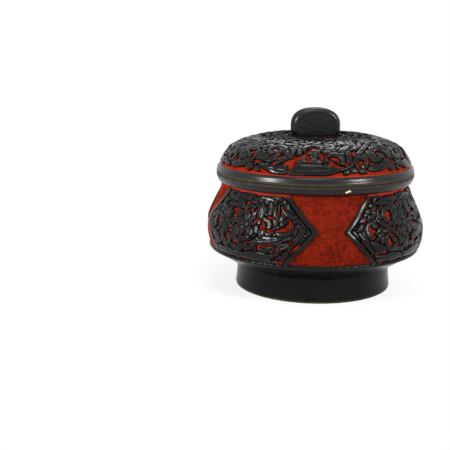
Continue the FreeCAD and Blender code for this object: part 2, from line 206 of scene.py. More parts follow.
def eased(corners, ease):
    """A closed outline whose corners are quadratic Bezier curves that start and end the ease away."""
    corners = np.asarray(corners, float)
    before, after = np.roll(corners, 1, axis=0) - corners, np.roll(corners, -1, axis=0) - corners
    reach = [np.minimum(ease, np.linalg.norm(side, axis=1) / 3)[:, None] for side in (before, after)]
    start = corners + before / np.linalg.norm(before, axis=1)[:, None] * reach[0]
    end = corners + after / np.linalg.norm(after, axis=1)[:, None] * reach[1]
    s = np.linspace(0, 1, 5)[None, :, None]
    curves = start[:, None] * (1 - s) ** 2 + corners[:, None] * 2 * s * (1 - s) + end[:, None] * s**2
    return curves.reshape(-1, 2)


def round_axis(r, azimuth, z):
    """Points at a radius, an azimuth and a height."""
    return np.stack(np.broadcast_arrays(r * np.sin(azimuth), -r * np.cos(azimuth), z), axis=-1)


class Outline:
    """A turned outline: radius and height against the distance t along it, with its outward normal."""

    def __init__(self, points):
        self.r, self.z = points.T
        self.t = np.concatenate([[0], np.cumsum(np.hypot(np.diff(self.r), np.diff(self.z)))])
        dr, dz = np.gradient(self.r, self.t), np.gradient(self.z, self.t)
        size = np.hypot(dr, dz)
        self.nr, self.nz = dz / size, -dr / size

    def radius(self, t):
        return np.interp(t, self.t, self.r)

    def at_height(self, z):
        return np.interp(z, self.z, self.t)

    def skin(self, azimuth, t, height):
        """Points at an azimuth, a distance along the outline and a height over it, along its normal."""
        r = np.interp(t, self.t, self.r) + height * np.interp(t, self.t, self.nr)
        z = np.interp(t, self.t, self.z) + height * np.interp(t, self.t, self.nz)
        return round_axis(r, azimuth, z)


def underside_point(bowl, radius, inset):
    """Point of the slanted underside at a radius, at an inset square to it."""
    along, up = math.cos(bowl.underside_slope), math.sin(bowl.underside_slope)
    start_r, start_z = bowl.underside_r - inset * up, bowl.underside_z + inset * along
    return radius, start_z + (radius - start_r) * up / along


def wall_corner(bowl, inset):
    """Where the belly's arc meets the slanted underside."""
    along, up = math.cos(bowl.underside_slope), math.sin(bowl.underside_slope)
    foot_r, foot_z = underside_point(bowl, bowl.belly_r - bowl.belly_curve_r, inset)
    drop = bowl.belly_z - foot_z
    reach = drop * up + math.sqrt((bowl.belly_curve_r - inset) ** 2 - (drop * along) ** 2)
    return foot_r + along * reach, foot_z + up * reach


def wall_points(bowl, inset):
    """Wall of the bowl: the belly's arc, a cone and the waist's hollow arc, moved inwards by the inset."""
    centre = bowl.belly_r - bowl.belly_curve_r, bowl.belly_z
    corner = wall_corner(bowl, inset)
    start = math.atan2(corner[1] - centre[1], corner[0] - centre[0])
    lean, rise = math.cos(bowl.wall_slope), math.sin(bowl.wall_slope)
    cone = (centre[0] + bowl.belly_curve_r * lean - bowl.waist_r - bowl.waist_curve_r * (1 - lean)) / rise
    top_z = centre[1] + bowl.belly_curve_r * rise + cone * lean + bowl.waist_curve_r * rise
    waist = bowl.waist_r + bowl.waist_curve_r, top_z
    return joined(arc(centre, bowl.belly_curve_r - inset, start, bowl.wall_slope),
                  arc(waist, bowl.waist_curve_r + inset, math.pi + bowl.wall_slope, math.pi))


def dome_rim():
    """The dome's red surface at the rim ring: its radius and its height, as the solid has them."""
    low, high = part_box("lid_ground")
    return high.x, low.z


def dome_points(dome, inset):
    """Dome: two cubic Bezier curves that meet at the shoulder, moved inwards by the inset."""
    upright, lean = math.cos(dome.lean), math.sin(dome.lean)
    along, fall = math.cos(dome.slope), math.sin(dome.slope)
    rim_r, rim_z = dome_rim()
    rim = np.array([rim_r - inset / upright, rim_z])
    shoulder = np.array([dome.shoulder_r - inset * fall, dome.shoulder_z - inset * along])
    seat = np.array([dome.seat_r, dome.top_z - inset])
    out, down = np.array([-lean, upright]), np.array([along, -fall])
    side = [rim, rim + out * dome.rim_reach, shoulder + down * dome.shoulder_reach, shoulder]
    crown = [shoulder, shoulder - down * dome.crown_reach, seat + [dome.seat_reach, 0], seat]
    return joined(bezier(side, CURVE_POINTS), bezier(crown, CURVE_POINTS))


# Meshes

SHARP = math.radians(50)


def grid_mesh(name, points, closed_rows=False, closed_columns=False, values=None):
    """A smooth mesh of quads between neighbouring points of a grid, with a number for each point under each
    name in values."""
    rows, columns = points.shape[:2]
    i = np.arange(rows if closed_rows else rows - 1)[:, None]
    j = np.arange(columns if closed_columns else columns - 1)[None, :]
    up, on = (i + 1) % rows, (j + 1) % columns
    corners = [i * columns + j, i * columns + on, up * columns + on, up * columns + j]
    faces = np.stack(np.broadcast_arrays(*corners), axis=-1).reshape(-1, 4)
    mesh = bpy.data.meshes.new(name)
    mesh.vertices.add(rows * columns)
    mesh.vertices.foreach_set("co", points.astype(np.float32).ravel())
    mesh.loops.add(faces.size)
    mesh.loops.foreach_set("vertex_index", faces.astype(np.int32).ravel())
    mesh.polygons.add(len(faces))
    mesh.polygons.foreach_set("loop_start", np.arange(0, faces.size, 4, dtype=np.int32))
    mesh.update(calc_edges=True)
    for key, value in (values or {}).items():
        mesh.attributes.new(key, "FLOAT", "POINT").data.foreach_set("value", value.astype(np.float32).ravel())
    mesh.shade_smooth()
    return mesh


def welded(mesh):
    """Merges the points of a closed surface that coincide, as at a pole, and turns its faces outwards."""
    shape = bmesh.new()
    shape.from_mesh(mesh)
    bmesh.ops.remove_doubles(shape, verts=shape.verts, dist=SAME)
    bmesh.ops.recalc_face_normals(shape, faces=shape.faces)
    shape.to_mesh(mesh)
    shape.free()
    mesh.shade_smooth()
    return mesh


def turned(name, outline, segments=256):
    """Closed solid of revolution of a closed outline: each of its points turned round the axis."""
    azimuth = np.linspace(0, 2 * math.pi, segments, endpoint=False)[None, :]
    mesh = welded(grid_mesh(name, round_axis(outline[:, :1], azimuth, outline[:, 1:]), True, True))
    mesh.set_sharp_from_angle(angle=SHARP)
    return mesh


def dress(mesh, body, finish, slot, *nodes):
    """Makes a piece of a mesh, which rides on a body, has a finish and stands for CAD nodes."""
    piece = bpy.data.objects.new(mesh.name, mesh)
    bpy.context.scene.collection.objects.link(piece)
    mesh.materials.append(finish_for(finish))
    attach(piece, body)
    if nodes:
        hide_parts(*nodes)


# Carved relief

GRAIN, GRAIN_H = 1.3 * MM, 0.012 * MM  # size and height of the marks of the tools


def smooth(x):
    """Smoothstep: 0 below 0, 1 above 1 and x * x * (3 - 2x) between."""
    x = np.clip(x, 0, 1)
    return x * x * (3 - 2 * x)


def unevenness(x, y, size, seed):
    """Hand-made unevenness, about -1 to 1: the sum of sine waves of about that size, in seeded directions."""
    draw = np.random.default_rng(seed)
    total = np.zeros(np.broadcast_shapes(x.shape, y.shape))
    waves = 10
    for heading, phase, stretch in draw.random((waves, 3)):
        turn, pace = 2 * math.pi * heading, 2 * math.pi / (size * (0.6 + stretch))
        total += np.sin((x * math.cos(turn) + y * math.sin(turn)) * pace + 2 * math.pi * phase)
    return total / math.sqrt(waves)


class Relief:
    """Carving over a patch of a turned surface: a height over the wall for each point of a grid.

    A patch with a pitch goes round the axis: what is carved across one end comes in again at the other.
    """

    cut_line = 0.35  # share of its height that is left along a stroke that lies over it
    crown_foot = 0.78  # share of its full height that a stroke has at its edge
    crown_w = 1.5 * MM  # how far from its edge a wide stroke is at its full height
    vein_w = 0.16 * MM
    scroll_pace, leaf_pace, fill_pace = 0.4 * MM, 0.35 * MM, 0.34 * MM  # steps along a stroke
    least_steps = 8
    wind = 0.68  # share of its radius by which a scroll winds inwards
    kept_open = 0.42  # share of its radius within which nothing fills a scroll
    bare = 0.14 * MM  # height up to which red shows
    ramp = 0.2 * MM  # height over which black and rubbed come in
    rubbed = 0.03 * MM  # height over what is beside it from which an edge is rubbed
    fade = 0.16 * MM  # width over which the painted shade of black ends on the floor of a cut

    def __init__(self, outline, azimuth, t, carving, middle_az=0.0, middle_t=0.0, pitch=None):
        self.outline, self.azimuth, self.t, self.carving = outline, azimuth, t, carving
        self.middle_az, self.middle_t = middle_az, middle_t
        self.turns = (0,) if pitch is None else (-pitch, 0, pitch)
        self.height = np.zeros(azimuth.shape)
        self.depth = np.full(azimuth.shape, -1.0)
        self.open = np.full(azimuth.shape, 1.0)

    def window(self, azimuth, t, reach):
        """Rows and columns of the grid that lie within reach of a row of places, or None."""
        side = reach / self.outline.radius(t).min()
        rows = np.flatnonzero((self.t[:, 0] > t.min() - reach) & (self.t[:, 0] < t.max() + reach))
        if not rows.size:
            return None
        rows = slice(rows[0], rows[-1] + 1)
        columns = np.flatnonzero((self.azimuth[rows].max(axis=0) > azimuth.min() - side)
                                 & (self.azimuth[rows].min(axis=0) < azimuth.max() + side))
        return (rows, slice(columns[0], columns[-1] + 1)) if columns.size else None

    def raise_stroke(self, azimuth, t, half, **shape):
        """Raises a row of overlapping discs, given by centres and radii, wherever the patch repeats it."""
        for turn in self.turns:
            window = self.window(azimuth + turn, t, half.max() + self.carving.heed)
            if window is not None:
                self.raise_discs(window, azimuth + turn, t, half, **shape)

    def raise_discs(self, window, azimuth, t, half, share=1.0, vein=0.0, merge=False, lower=False):
        """Raises a row of discs in a window of the grid, or cuts it out of what stands there.

        A point's depth is the largest of radius less distance. The height goes up as a smoothstep of the
        depth over the edge's width, then as a low crown, less a fine groove along the row's middle. What
        already stands beside the stroke is cut down to a shallow line along it, unless the stroke merges with
        it. A cut goes down to the wall, as a smoothstep over the same width.
        """
        carving = self.carving
        here_az, here_t = self.azimuth[window], self.t[window[0]]
        depth = np.full(here_az.shape, -1.0)
        spine = np.full(here_az.shape, 1.0)
        for centre_az, centre_t, local_r, size in zip(azimuth, t, self.outline.radius(t), half):
            away = np.hypot((here_az - centre_az) * local_r, here_t - centre_t)
            depth = np.maximum(depth, size - away)
            spine = np.minimum(spine, away)
        under = self.height[window]
        if lower:
            self.height[window] = under * (1 - smooth(depth / carving.edge))
            self.depth[window] = np.minimum(self.depth[window], carving.edge - depth)
            return
        rise = np.sqrt(np.clip(depth / min(half.max(), self.crown_w), 0, 1))
        groove = vein * np.exp(-(spine / self.vein_w) ** 2)
        top = carving.relief * share * (self.crown_foot + (1 - self.crown_foot) * rise) * (1 - groove)
        if merge:
            over, beside = np.maximum(under, top * smooth(depth / carving.edge)), under
        else:
            line = under * self.cut_line
            over = line + (top - line) * smooth(depth / carving.edge)
            beside = under * (self.cut_line + (1 - self.cut_line) * smooth(-depth / carving.gap))
        self.height[window] = np.where(depth > 0, over, beside)
        self.depth[window] = np.maximum(self.depth[window], depth)

    def place(self, x, y, steps_x, steps_y, half, **shape):
        """Raises a stroke whose points lie at steps from an anchor, given from the patch's middle."""
        radius, t = self.outline.radius, self.middle_t + y + steps_y
        azimuth = self.middle_az + x / radius(self.middle_t + y) + steps_x / radius(t)
        self.raise_stroke(azimuth, t, half, **shape)

    def scroll(self, x, y, radius, half, start, sweep):
        """A spiral band that winds inwards evenly, with a round eye at its end.

        Its half width falls evenly by two fifths, and where it starts it grows from a third of that as a
        smoothstep. Nothing fills its inside.
        """
        middle_az = self.middle_az + x / self.outline.radius(self.middle_t + y)
        for turn in self.turns:
            away = np.hypot((self.azimuth - middle_az - turn) * self.outline.radius(self.middle_t + y),
                            self.t - self.middle_t - y)
            self.open = np.minimum(self.open, away - self.kept_open * radius)
        count = int(abs(math.radians(sweep)) * radius / self.scroll_pace) + self.least_steps
        q = np.linspace(0, 1, count)
        turn = np.radians(start + sweep * q)
        reach = radius * (1 - self.wind * q)
        width = half * (1 - 0.4 * q) * (0.35 + 0.65 * smooth(q * 6))
        width[-1] = half * 1.05
        self.place(x, y, reach * np.cos(turn), reach * np.sin(turn), width)

    def leaf(self, x, y, size, half, heading, bend=0.0, fullness=0.8, **shape):
        """A pointed blade along a bending spine.

        Its half width is a power of a sine wave of the distance along it. The larger its fullness, the nearer
        its tip it is widest.
        """
        count = int(size / self.leaf_pace) + self.least_steps
        q = np.linspace(0, 1, count)
        turn = np.radians(heading + bend * q)
        step = size / (count - 1)
        spine_x = np.concatenate([[0], np.cumsum(np.cos(turn[:-1]) * step)])
        spine_y = np.concatenate([[0], np.cumsum(np.sin(turn[:-1]) * step)])
        width = half * np.sin(math.pi * np.clip(q, 0.02, 0.98) ** fullness) ** 0.8
        self.place(x, y, spine_x, spine_y, width, **shape)

    def frond(self, x, y, radius, half, start, sweep, leaflets):
        """A scroll with leaflets along the outside of its first part, which lie under its band."""
        hand = math.copysign(1, sweep)
        for q in (np.arange(leaflets) + 0.35) / max(leaflets, 1) * 0.62:
            turn = start + sweep * q
            reach = radius * (1 - self.wind * q)
            foot_x, foot_y = reach * math.cos(math.radians(turn)), reach * math.sin(math.radians(turn))
            self.leaf(x + foot_x, y + foot_y, radius * (0.95 - 0.35 * q), half * 1.05, turn + 40 * hand,
                      35 * hand, fullness=0.65, share=0.86, vein=0.25)
        self.scroll(x, y, radius, half, start, sweep)

    def carve(self, fronds, leaves, vein):
        """Raises a design that is given in millimetres and degrees: its fronds, then its leaves."""
        for x, y, size, half, start, sweep, leaflets in fronds:
            self.frond(x * MM, y * MM, size * MM, half * MM, start, sweep, leaflets)
        for x, y, size, half, *course in leaves:
            self.leaf(x * MM, y * MM, size * MM, half * MM, *course, vein=vein)

    def cut(self, openings):
        """Cuts pointed openings, given as leaves are, in millimetres and degrees."""
        for x, y, size, half, *course in openings:
            self.leaf(x * MM, y * MM, size * MM, half * MM, *course, lower=True)

    def fill(self, clear, least, seed):
        """Fills what is left with leaves, the widest place first, which merge with what is round them.

        It stops when no place takes a leaf of the least half width, so that smaller places stay open.
        """
        draw = np.random.default_rng(seed)
        most = 500
        for _ in range(most):
            room = np.minimum(np.minimum(-self.depth, self.open) + self.carving.fill_lap, clear)
            spot = np.unravel_index(np.argmax(room), room.shape)
            if room[spot] < least:
                return
            azimuth, t, half = self.ridge(room, spot, draw)
            self.raise_stroke(azimuth, t, half, share=draw.uniform(0.8, 0.95), vein=0.12, merge=True)

    def ridge(self, room, spot, draw):
        """Row of discs that runs both ways from a spot: the one of many bent lines that has most room."""
        reach, headings, bends = 20, 20, [-6.0, -3.0, 0.0, 3.0, 6.0]
        steps = np.arange(-reach, reach + 1)[None, :]
        start = np.repeat(np.linspace(0, math.pi, headings, endpoint=False), len(bends))[:, None]
        heading = start + np.tile(np.radians(bends), headings)[:, None] * steps
        x, t = [np.cumsum(part, axis=1) * self.fill_pace for part in (np.cos(heading), np.sin(heading))]
        t = self.t[spot[0], 0] + t - t[:, reach:reach + 1]
        azimuth = self.azimuth[spot] + (x - x[:, reach:reach + 1]) / self.outline.radius(t)
        here = self.sample(room, azimuth, t)
        ahead = np.cumprod(here[:, reach:] > 0, axis=1)
        behind = np.cumprod(here[:, reach::-1] > 0, axis=1)[:, ::-1]
        open_way = np.concatenate([behind[:, :-1], ahead], axis=1)
        score = (here * open_way).sum(axis=1) * draw.uniform(0.8, 1.2, len(here))
        best = np.argmax(score)
        kept = open_way[best] > 0
        return azimuth[best, kept], t[best, kept], np.minimum(here[best, kept], self.carving.fill_most)

    def sample(self, values, azimuth, t):
        """Values of the grid points nearest to given places, and less than nothing outside the patch."""
        rows, columns = values.shape
        row = (t - self.t[0, 0]) / (self.t[-1, 0] - self.t[0, 0]) * (rows - 1)
        row = np.rint(row).astype(int)
        inside = (row >= 0) & (row < rows)
        row = np.clip(row, 0, rows - 1)
        first, last = self.azimuth[row, 0], self.azimuth[row, -1]
        column = np.rint((azimuth - first) / (last - first) * (columns - 1)).astype(int)
        if len(self.turns) > 1:
            column = column % (columns - 1)
        inside &= (column >= 0) & (column < columns)
        column = np.clip(column, 0, columns - 1)
        return np.where(inside, values[row, column], -1.0)

    def values(self):
        """Where the surface is black, where it is rubbed and where it is low.

        Black reaches down the walls of the cuts, and as painted shade over the floor of the narrow ones, so
        that red shows only on wide floors. Rubbed is convex: the height over the mean beside it. Low marks
        the cuts, where the finish paints shade with a dull, darker copy.
        """
        wall = smooth((self.height - self.bare) / self.ramp)
        # Painted shade: black over the floor of a cut near its wall
        floor = 1 - smooth((-self.depth - self.carving.painted_shade_reach) / self.fade)
        around = sum(np.roll(self.height, step, axis) for axis in (0, 1) for step in (-2, 2)) / 4
        worn = smooth((self.height - around - self.rubbed) / self.ramp) * wall
        # Low: the floors and lower walls of the cuts, where the finish paints shade with a dull, darker copy
        low = smooth((1 - self.height / (0.8 * self.carving.relief)) * 1.8)
        return {"black": np.maximum(wall, floor), "worn": worn, "low": low}

    def mesh(self, name, turn=0.0):
        """The carved surface, turned round the axis."""
        points = self.outline.skin(self.azimuth + turn, self.t, self.height)
        return grid_mesh(name, points, values=self.values())


# Designs, in millimetres and degrees. A frond has its place across and up, its radius, half width, start,
# sweep and number of leaflets. A leaf or a cut has its place, length, half width and heading, and where they
# aren't the usual ones its bend and its fullness. A panel's places are counted from its middle, and those of
# the dome from the middle of the repeat and from the rim.
PANEL_FRONDS = [
    (-11.9, 6.4, 6.4, 1.8, -70, 310, 2), (22.4, 2.2, 5.6, 1.8, 190, 310, 2),
    (-23.8, 0.6, 6.1, 1.8, -10, -310, 2), (-12.6, -7.6, 5.4, 1.8, 120, 290, 2),
]
PANEL_LEAVES = [
    (0.8, 15.2, 18.0, 2.5, 0, -10), (-0.8, 15.2, 18.0, 2.5, 180, 10), (-6.0, -15.0, 26.0, 2.7, -3, 12),
    (-4.0, -15.4, 20.0, 2.5, 182, -12), (17.6, -10.8, 11.6, 2.3, 10, 34), (-17.6, -10.8, 11.6, 2.3, 170, -34),
    (2.6, -7.2, 21.0, 2.6, 2, 14), (7.6, 4.6, 10.0, 2.5, 98, -16), (12.8, 7.0, 8.2, 2.1, 92, 8),
    (17.4, 1.6, 14.0, 2.1, 98, -14), (9.4, -5.0, 8.4, 2.2, 64, 30), (-5.0, 9.2, 7.6, 2.1, 118, 50),
    (28.6, 3.6, 6.4, 1.5, -50, 20), (-28.6, 3.6, 6.4, 1.5, 230, -20),
]
PANEL_CUTS = [
    (-13.7, 4.2, 5.8, 1.15, 5), (-13.2, 8.2, 5.4, 0.85, 12), (-10.3, -1.7, 5.2, 1.05, 30),
    (-14.1, -3.2, 5.6, 1.2, -20), (-10.4, -9.4, 7.6, 1.05, -6), (2.4, 2.8, 6.4, 1.2, 25, 0, 0.9),
    (9.9, 6.4, 7.2, 1.25, -5), (2.6, 8.0, 3.6, 0.95, 60), (7.7, 0.5, 5.6, 1.1, -10, 0, 0.7),
    (11.7, -0.4, 5.0, 1.3, -15), (16.5, -0.9, 7.2, 1.05, 10), (21.2, 7.4, 10.5, 1.2, -25, -125, 0.9),
    (8.7, -12.0, 4.6, 1.3, 75), (14.0, -8.4, 3.8, 1.05, 5), (18.5, -12.5, 5.2, 1.15, 65),
    (25.4, -5.0, 5.4, 1.05, -38), (21.4, -13.4, 5.4, 0.95, 52), (16.0, -16.4, 6.6, 0.8, 10),
    (10.3, 14.6, 8.4, 0.6, -84), (15.4, 15.6, 9.4, 0.6, -90), (18.6, 13.2, 4.6, 0.9, -60),
    (-3.4, -13.8, 8.4, 0.6, 8), (0.4, -8.2, 11.6, 0.65, 8, 52), (-20.4, 9.8, 6.0, 0.9, 30),
    (-27.4, 3.6, 5.0, 1.0, 70), (-26.4, -5.4, 5.4, 1.0, 30), (-20.0, -12.4, 5.0, 0.9, -12),
]
FLOWER = (-0.6, 1.2)
DOME_FRONDS = [
    (17.8, 6.8, 4.5, 1.6, 215, -320, 1), (-29.1, 15.6, 6.2, 1.8, -20, 320, 2),
    (-6.6, 17.8, 6.2, 1.8, 215, -320, 2), (-15.2, 28.2, 5.2, 1.6, 200, -310, 2),
    (2.4, 29.2, 5.2, 1.6, -20, 310, 2), (20.2, 26.6, 5.2, 1.6, 200, -310, 2),
    (3.6, 8.8, 5.0, 1.7, 150, -300, 0), (31.0, 11.4, 4.6, 1.6, -40, 300, 1),
]
DOME_LEAVES = [
    (5.0, 15.4, 12.0, 2.2, 20, 50), (10.8, 22.2, 11.0, 2.1, 110, -40), (-16.2, 9.2, 10.0, 3.0, 8, -10, 0.6),
    (-38.0, 8.8, 13.0, 2.6, 8, 10), (-44.6, 4.9, 23.8, 2.9, -5.5, 0, 2.6), (-47.6, 4.6, 5.4, 2.2, -25, 30),
    (-20.4, 3.4, 33.5, 3.9, -2, 13, 0.42), (6.8, 2.0, 3.6, 1.3, 20), (20.4, 3.6, 15.0, 2.0, 6, -6),
]
DOME_CUTS = [
    (-25.0, 6.8, 18.4, 1.8, 14, 58, 0.6), (-19.4, 9.4, 7.4, 1.8, -98), (-11.4, 12.4, 5.6, 1.4, -72, 0, 0.9),
    (-13.2, 11.4, 4.6, 1.2, 20), (-3.8, 17.0, 11.0, 1.2, -86, 10), (-0.6, 11.0, 12.4, 1.4, -76, 100),
    (5.2, 21.2, 5.6, 1.2, 10), (-33.8, 9.4, 6.6, 1.2, 42), (-28.6, 9.6, 6.2, 1.2, 30),
    (-48.0, 12.6, 12.0, 0.95, 14), (14.4, 6.6, 3.8, 1.2, 0), (20.8, 5.6, 6.0, 1.1, 64),
    (27.8, 12.0, 5.4, 1.2, 18), (36.6, 7.4, 6.2, 1.2, -8), (-3.0, 31.0, 4.6, 1.1, 4),
    (-22.6, 20.6, 5.6, 1.1, 22), (12.0, 14.6, 5.0, 1.1, 30),
]


def panel_edges(outline, carving, t):
    """Half the angle that a panel takes at a distance along the wall, and its foot, tips and top along it."""
    low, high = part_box("panel_front_left")
    places = outline.at_height(np.array([low.z, carving.panel_tip_z, high.z]))
    widths = np.array([carving.panel_foot_w, carving.panel_tip_w, carving.panel_top_w])
    halves = np.arcsin(widths / 2 / (outline.radius(places) + carving.relief / 2))
    return np.interp(t, places, halves), places


def carve_panel(outline, carving, middle_az, seed):
    """Hexagonal panel: plain frames on its four slanted sides, with flower, scrolls and leaves between."""
    _, (foot_t, _, top_t) = panel_edges(outline, carving, 0)
    foot_t -= carving.foot_lap
    rows = int((top_t - foot_t) / carving.step)
    t = np.linspace(foot_t - carving.edge, top_t + carving.edge, rows)[:, None]
    half_angle, _ = panel_edges(outline, carving, t)
    radius = outline.radius(t)
    columns = int(2 * (half_angle * radius).max() / carving.step)
    azimuth = middle_az + np.linspace(-1, 1, columns)[None, :] * (half_angle + carving.edge / radius)
    relief = Relief(outline, azimuth, t, carving, middle_az, (foot_t + top_t) / 2)

    slant = np.hypot(1, np.gradient((half_angle * radius)[:, 0], t[:, 0]))[:, None]
    sides = (half_angle - abs(azimuth - middle_az)) * radius / slant
    ends = np.minimum(t - foot_t, top_t - t)
    frame_w = carving.frame_w / slant
    field = np.minimum(sides - frame_w - carving.groove_w / slant, ends)
    relief.carve(PANEL_FRONDS, PANEL_LEAVES, vein=0.2)
    carve_flower(relief, FLOWER[0] * MM, FLOWER[1] * MM)
    relief.fill(field + carving.fill_lap, carving.panel_fill, seed)
    relief.cut(PANEL_CUTS)

    hand = unevenness(azimuth * radius, t, 5 * MM, seed=1)
    relief.height *= smooth(field / carving.edge) * (1 + 0.05 * hand)
    relief.height += GRAIN_H * (1 + unevenness(azimuth * radius, t, GRAIN, seed=2))
    half_w, sunk_w = 1.8 * MM, 0.12 * MM
    bevel = 0.9 + 0.1 * smooth(np.minimum(sides, frame_w - sides) / half_w)
    band = smooth(sides / carving.edge) * smooth((frame_w - sides) / carving.edge)
    band = band * smooth(ends / carving.edge)
    relief.depth = np.maximum(np.minimum(relief.depth, field), np.minimum(sides, frame_w - sides))
    relief.height = np.maximum(relief.height, carving.relief * band * bevel * (1 + 0.02 * hand))
    relief.height -= carving.sink * 2 * smooth(1 - np.minimum(sides, ends) / sunk_w)
    return relief


def carve_flower(relief, x, y):
    """A flower: a ring of broad bent petals and a round heart."""
    petals, size, half, foot = 5, 6.6 * MM, 2.5 * MM, 0.9 * MM
    for k in range(petals):
        heading = 20 + 360 / petals * k
        relief.leaf(x + foot * math.cos(math.radians(heading)), y + foot * math.sin(math.radians(heading)),
                    size, half, heading, 22, fullness=1.25, vein=0.2)
    relief.scroll(x, y, 0.5 * MM, 1.6 * MM, 0, 300)


def carve_dome(outline, carving):
    """One repeat of the dome's carving, from the rim ring to the border round the plinth.

    The border's rays are dips where the size of a sine wave round the axis is least.
    """
    half_angle = math.pi / carving.dome_repeats
    plinth_lap, sunk_w = 0.02 * MM, 0.4 * MM
    border_share, ray_depth, rays_each = 0.8, 0.6, 12
    seat_t = outline.at_height(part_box("knob_plinth")[0].z - plinth_lap)
    rows = int(seat_t / carving.step)
    foot = carving.dome_foot
    t = np.linspace(foot * 0.4, seat_t, rows)[:, None]
    columns = int(2 * half_angle * outline.radius(seat_t / 2) / carving.step)
    azimuth = np.linspace(-half_angle, half_angle, columns)[None, :] + 0 * t
    relief = Relief(outline, azimuth, t, carving, pitch=2 * half_angle)
    radius = outline.radius(t)
    inner = carving.border_r - radius
    relief.carve(DOME_FRONDS, DOME_LEAVES, vein=0.12)
    clear = np.minimum(t - carving.dome_leaf_foot, -inner) + 0 * azimuth
    relief.fill(clear + carving.fill_lap, carving.dome_fill, seed=9)
    relief.cut(DOME_CUTS)

    hand = unevenness(azimuth * radius, t, 6 * MM, seed=3)
    hand = hand + (hand[:, :1] - hand[:, -1:]) * smooth(azimuth / half_angle / 2 + 0.5)
    relief.height *= smooth((t - foot) / carving.edge) * smooth(-inner / carving.edge) * (1 + 0.04 * hand)
    band = smooth(inner / carving.edge) * smooth((carving.border_w - inner) / carving.edge)
    count = rays_each * carving.dome_repeats
    rays = smooth((1 - abs(np.sin(azimuth * count / 2)) ** 0.5) * 3) * smooth(inner / MM)
    relief.height = np.maximum(relief.height, carving.relief * border_share * band * (1 - ray_depth * rays))
    relief.depth = np.maximum(np.minimum(relief.depth, t - foot), np.minimum(inner, carving.border_w - inner))
    grain = unevenness(azimuth * radius, t, GRAIN, seed=5)
    relief.height += GRAIN_H * (1 + grain * smooth((half_angle - abs(azimuth)) * radius / MM))
    relief.height -= carving.sink * smooth(1 - (t - t[0]) / sunk_w)
    return relief


def diaper_field(name, outline, carving, middle_az):
    """Red field between two panels: small raised diamonds, made by two triangle waves across each other."""
    low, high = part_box("rope_border")
    t_low, t_high = outline.at_height((low.z + high.z) / 2), outline.t[-1]
    rows = int((t_high - t_low) / carving.step)
    t = np.linspace(t_low, t_high, rows)[:, None]
    half_angle, _ = panel_edges(outline, carving, t)
    radius = outline.radius(t)
    tuck, lift = 1.0 * MM, 0.03 * MM
    reach = math.pi / 4 - half_angle + tuck / radius
    columns = int(2 * (reach * radius).max() / carving.step)
    azimuth = middle_az + np.linspace(-1, 1, columns)[None, :] * reach
    x = (azimuth - middle_az) * outline.radius(outline.at_height(carving.panel_tip_z))
    waver = unevenness(x, t, 9 * MM, seed=7) * 0.09 * MM
    u, v = (x + t + waver) / carving.diaper_pitch, (x - t + waver) / carving.diaper_pitch
    ridge = np.minimum(abs(u % 1 - 0.5), abs(v % 1 - 0.5)) * 2
    tops = smooth(ridge * 1.8 - 0.2)
    depth = 1 + 0.25 * unevenness(x, t, 7 * MM, seed=8)
    height = carving.diaper_h * tops * np.clip(depth, 0.3, 1.4) + lift
    return grid_mesh(name, outline.skin(azimuth, t, height), values={"tops": tops})


# Finishes

class Signal:
    """A shader socket that takes part in sums: each operator adds one Math node."""

    def __init__(self, nodes, socket):
        self.nodes, self.socket = nodes, socket

    def math(self, operation, *values):
        return self.nodes.add("ShaderNodeMath", {"operation": operation}, dict(enumerate(values)))

    def __abs__(self):
        return self.math("ABSOLUTE", self)

    def __add__(self, other):
        return self.math("ADD", self, other)

    def __sub__(self, other):
        return self.math("SUBTRACT", self, other)

    def __rsub__(self, other):
        return self.math("SUBTRACT", other, self)

    def __mul__(self, other):
        return self.math("MULTIPLY", self, other)

    __radd__ = __add__
    __rmul__ = __mul__


class Nodes:
    """The node tree of a new material or world."""

    def __init__(self, owner):
        owner.use_nodes = True
        self.tree = owner.node_tree
        self.tree.nodes.clear()

    def add(self, kind, settings, inputs, output=0):
        """Adds a node: first its settings, then the values or links of its sockets."""
        node = self.tree.nodes.new(kind)
        for key, value in settings.items():
            setattr(node, key, value)
        for key, value in inputs.items():
            if isinstance(value, Signal):
                self.tree.links.new(value.socket, node.inputs[key])
            else:
                node.inputs[key].default_value = value
        return Signal(self, node.outputs[output])

    def seen(self):
        """1 for what the camera sees straight or in a mirror or glass, 0 for other light."""
        straight, mirrored, through = [self.add("ShaderNodeLightPath", {}, {}, f"Is {kind} Ray")
                                       for kind in ("Camera", "Glossy", "Transmission")]
        return self.add("ShaderNodeMath", {"operation": "ADD", "use_clamp": True},
                        {0: straight + mirrored, 1: through})

    def end(self, kind, shader):
        """Ends the tree in an output node."""
        self.tree.links.new(shader.socket, self.tree.nodes.new(kind).inputs["Surface"])


